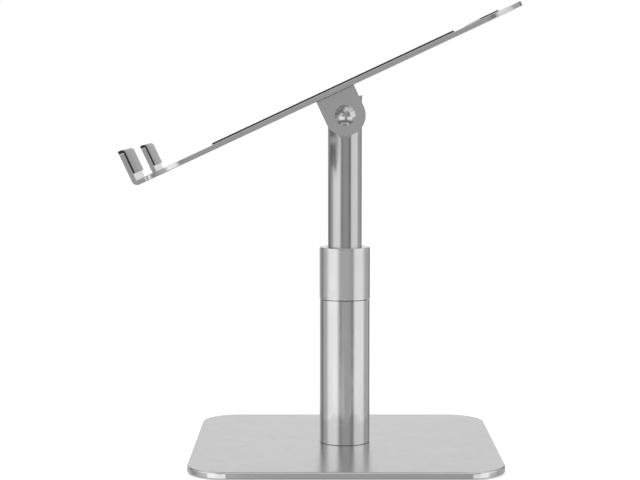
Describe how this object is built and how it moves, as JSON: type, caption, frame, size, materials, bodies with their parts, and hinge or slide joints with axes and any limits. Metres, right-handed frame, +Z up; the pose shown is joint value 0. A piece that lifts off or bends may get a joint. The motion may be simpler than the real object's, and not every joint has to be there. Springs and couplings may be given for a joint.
{
  "type": "laptop stand",
  "caption": "Desktop laptop stand: weighted square base, telescopic column with a screw clamp collar, swivelling mast and a friction-tilt slotted tray with front hooks.",
  "frame": {"origin": "centre of the underside of the base mat, on the desk", "axes": "+Z up the column; +X along the tilt hinge, to the right of a user at the front; +Y to the rear, away from the hooks"},
  "size_m": [0.25, 0.2719, 0.323],
  "materials": {
    "satin_coat": "satin silver powder coat",
    "base_silicone": "matt silicone",
    "dark_silicone": "matt silicone",
    "steel": "turned steel",
    "column_aluminium": "polished and clear anodised",
    "dark_acetal": "moulded acetal",
    "white_nylon": "turned nylon",
    "collar_aluminium": "knurled, clear anodised",
    "mast_aluminium": "polished, clear anodised",
    "bronze": "plain bearing bronze",
    "chrome": "polished chrome",
    "tray_aluminium": "satin bead-blasted, clear anodised",
    "grey_silicone": "matt silicone"
  },
  "bodies": {
    "base": {"base_plate": "satin_coat", "base_mat": "base_silicone", "column_gasket": "dark_silicone", "column_plug": "steel", "column_screws": "steel", "outer_tube": "column_aluminium", "collet_sleeve": "dark_acetal"},
    "wedge": {"wedge_ring": "white_nylon"},
    "collar": {"lock_collar": "collar_aluminium"},
    "glide": {"glide_bush": "dark_acetal"},
    "mast": {"mast_tube": "mast_aluminium", "retaining_rings": "steel", "pivot_block": "steel", "pivot_bush": "bronze"},
    "tray": {"pivot_bolt": "chrome", "friction_washers": "white_nylon", "nut_washer": "steel", "spring_washers": "steel", "pivot_nut": "chrome", "tilt_bracket": "tray_aluminium", "bracket_screws": "steel", "tray_plate": "tray_aluminium", "side_pad_left": "grey_silicone", "side_pad_right": "grey_silicone", "rear_pad": "grey_silicone", "hook_pad_left": "grey_silicone", "hook_pad_right": "grey_silicone"}
  },
  "joints": [
    {"name": "wedge_lift", "type": "slide", "parent": "base", "child": "wedge", "axis": [0, 0, 1], "range_m": [0, 0.0012]},
    {"name": "collar_turn", "type": "hinge", "parent": "wedge", "child": "collar", "pos_m": [0, 0, 0.131], "axis": [0, 0, 1], "range_deg": [0, 270]},
    {"name": "mast_lift", "type": "slide", "parent": "base", "child": "glide", "axis": [0, 0, 1], "range_m": [-0.075, 0]},
    {"name": "mast_swivel", "type": "hinge", "parent": "glide", "child": "mast", "pos_m": [0, 0, 0.15], "axis": [0, 0, 1], "continuous": true},
    {"name": "tray_tilt", "type": "hinge", "parent": "mast", "child": "tray", "pos_m": [0, 0, 0.2459], "axis": [1, 0, 0], "range_deg": [-25, 25]}
  ],
  "couplings": [
    {"joint": "wedge_lift", "follows": "collar_turn", "m_per_rad": 0.00023873}
  ]
}
